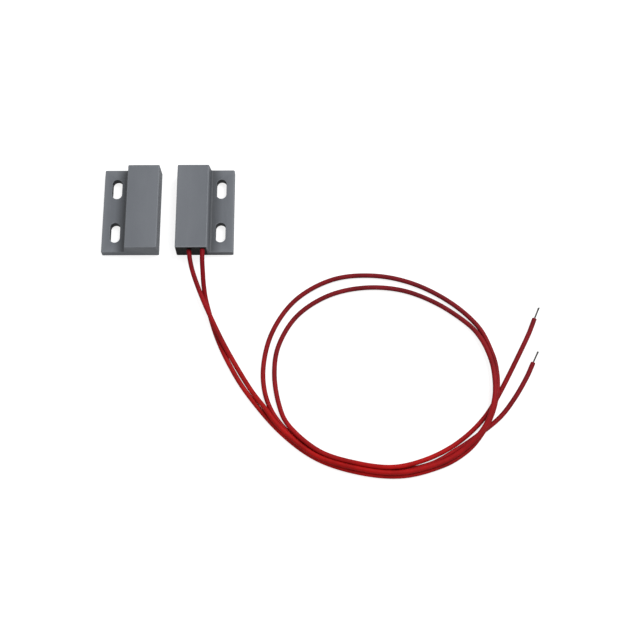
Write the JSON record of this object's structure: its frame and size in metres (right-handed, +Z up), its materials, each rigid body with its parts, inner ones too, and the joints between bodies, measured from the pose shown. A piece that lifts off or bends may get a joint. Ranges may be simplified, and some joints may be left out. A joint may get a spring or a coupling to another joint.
{
  "type": "magnetic door switch",
  "caption": "Surface-mount magnetic door contact: a potted reed-switch half with loosely looped red leads beside a matching magnet half, both grey blocks with a slotted screw flange.",
  "frame": {"origin": "middle of the pair of halves, on the surface that they are screwed to; the leads are left out", "axes": "+X from the magnet half to the switch half, +Y away from the end that the leads leave, +Z up from the mounting surface"},
  "size_m": [0.1397, 0.1021, 0.0068],
  "materials": {
    "shell_plastic": "satin moulded",
    "potting_resin": "poured, semi-gloss",
    "capsule_glass": "clear, slightly green",
    "reed_metal": "drawn nickel-iron wire",
    "solder": "bright solder",
    "lead_insulation": "smooth extruded",
    "tinned_strands": "tinned copper",
    "ferrite": "pressed and ground"
  },
  "bodies": {
    "root": {"switch_housing": "shell_plastic", "switch_resin": "potting_resin", "glass_capsule": "capsule_glass", "front_reed": "reed_metal", "rear_reed": "reed_metal", "front_solder_joint": "solder", "rear_solder_joint": "solder", "left_lead": "lead_insulation", "right_lead": "lead_insulation", "left_lead_joint_strands": "tinned_strands", "right_lead_joint_strands": "tinned_strands", "left_lead_bare_end": "tinned_strands", "right_lead_bare_end": "tinned_strands", "magnet_housing": "shell_plastic", "bar_magnet": "ferrite", "magnet_resin": "potting_resin"}
  },
  "joints": []
}
